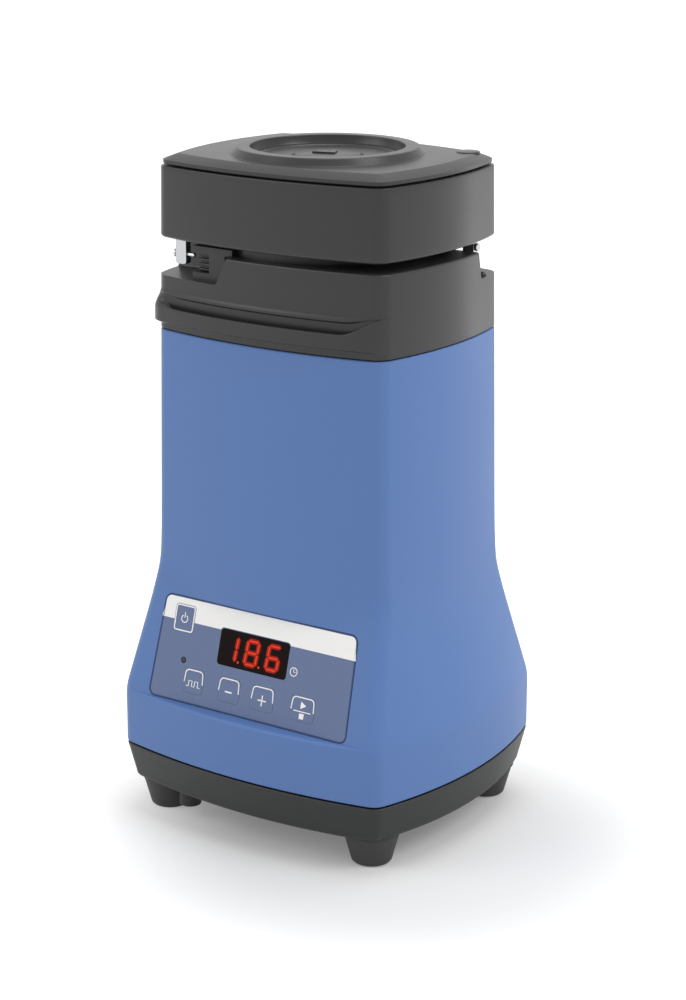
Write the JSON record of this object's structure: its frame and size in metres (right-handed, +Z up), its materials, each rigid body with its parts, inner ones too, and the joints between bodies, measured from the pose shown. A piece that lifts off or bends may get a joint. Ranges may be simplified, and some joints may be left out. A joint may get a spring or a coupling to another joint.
{
  "type": "analytical mill",
  "caption": "Bench-top analytical mill: tapered housing with a tilted key panel, a collar with the grinding chamber and blade, and a locking lid on two hanging steel bars.",
  "frame": {"origin": "on the table, under the middle of the mill", "axes": "+Z up along the motor shaft, -Y towards the user, where the key panel is"},
  "size_m": [0.1278, 0.1124, 0.241],
  "materials": {
    "blue_housing": "satin",
    "dark_plastic": "satin",
    "base_plastic": "fine texture",
    "rubber": "matte",
    "panel_foil": "semi-gloss",
    "window": "clear",
    "red_light": "lit",
    "board": "coated",
    "steel": "polished",
    "laminated_steel": "varnished",
    "copper": "bare",
    "zinc_cast": "as cast",
    "carbon": "matte",
    "silicone": "matte",
    "moulded": "satin"
  },
  "bodies": {
    "housing_body": {"base_pan": "base_plastic", "base_lug": "base_plastic", "foot_1": "rubber", "foot_2": "rubber", "foot_3": "rubber", "foot_4": "rubber", "foot_screw_1": "steel", "foot_screw_2": "steel", "foot_screw_3": "steel", "foot_screw_4": "steel", "motor_screw_1": "steel", "motor_screw_2": "steel", "motor_screw_3": "steel", "motor_screw_4": "steel", "housing_shell": "blue_housing", "power_board": "board", "control_board": "board", "panel_foil": "panel_foil", "display_window": "window", "display_module": "red_light", "status_led": "red_light", "mains_inlet": "moulded", "interlock_switch": "moulded", "brush_holder_left": "moulded", "brush_holder_right": "moulded", "catch_insert_left": "moulded", "catch_insert_right": "moulded", "collar": "dark_plastic", "grinding_chamber": "steel", "bearing_upper": "steel", "bearing_lower": "steel", "shaft_seal": "silicone", "motor_top_bracket": "zinc_cast", "motor_bottom_bracket": "zinc_cast", "stator_core": "laminated_steel", "field_coil_left": "copper", "field_coil_right": "copper", "carbon_brush_left": "carbon", "carbon_brush_right": "carbon"},
    "rotor": {"motor_shaft": "steel", "armature_core": "copper", "commutator": "copper", "cooling_fan": "moulded", "blade": "steel", "blade_nut": "steel"},
    "plug": {"lid_insert": "steel", "lid_seal": "silicone", "lid_retainer": "steel"},
    "lid": {"lid_shell": "dark_plastic", "lid_cover": "dark_plastic", "lock_bar_left": "steel", "lock_bar_right": "steel", "lock_pin_left": "steel", "lock_pin_right": "steel"},
    "plunger": {"interlock_plunger": "moulded"},
    "key_power": {"key_power": "panel_foil"},
    "key_interval": {"key_interval": "panel_foil"},
    "key_minus": {"key_minus": "panel_foil"},
    "key_plus": {"key_plus": "panel_foil"},
    "key_start": {"key_start": "panel_foil"}
  },
  "joints": [
    {"name": "rotor_spin", "type": "hinge", "parent": "housing_body", "child": "rotor", "pos_m": [0, 0, 0.1], "axis": [0, 0, 1], "continuous": true},
    {"name": "lid_lift", "type": "slide", "parent": "housing_body", "child": "plug", "axis": [0, 0, 1], "range_m": [0, 0.08]},
    {"name": "lid_turn", "type": "hinge", "parent": "plug", "child": "lid", "pos_m": [0, 0, 0.22], "axis": [0, 0, 1], "range_deg": [-12, 4]},
    {"name": "interlock_press", "type": "slide", "parent": "housing_body", "child": "plunger", "axis": [0, 0, -1], "range_m": [0, 0.0012], "stiffness_N_per_m": 400},
    {"name": "key_power_press", "type": "slide", "parent": "housing_body", "child": "key_power", "axis": [0, 0.9629, -0.27], "range_m": [0, 0.0004], "stiffness_N_per_m": 1000},
    {"name": "key_interval_press", "type": "slide", "parent": "housing_body", "child": "key_interval", "axis": [0, 0.9629, -0.27], "range_m": [0, 0.0004], "stiffness_N_per_m": 1000},
    {"name": "key_minus_press", "type": "slide", "parent": "housing_body", "child": "key_minus", "axis": [0, 0.9629, -0.27], "range_m": [0, 0.0004], "stiffness_N_per_m": 1000},
    {"name": "key_plus_press", "type": "slide", "parent": "housing_body", "child": "key_plus", "axis": [0, 0.9629, -0.27], "range_m": [0, 0.0004], "stiffness_N_per_m": 1000},
    {"name": "key_start_press", "type": "slide", "parent": "housing_body", "child": "key_start", "axis": [0, 0.9629, -0.27], "range_m": [0, 0.0004], "stiffness_N_per_m": 1000}
  ]
}
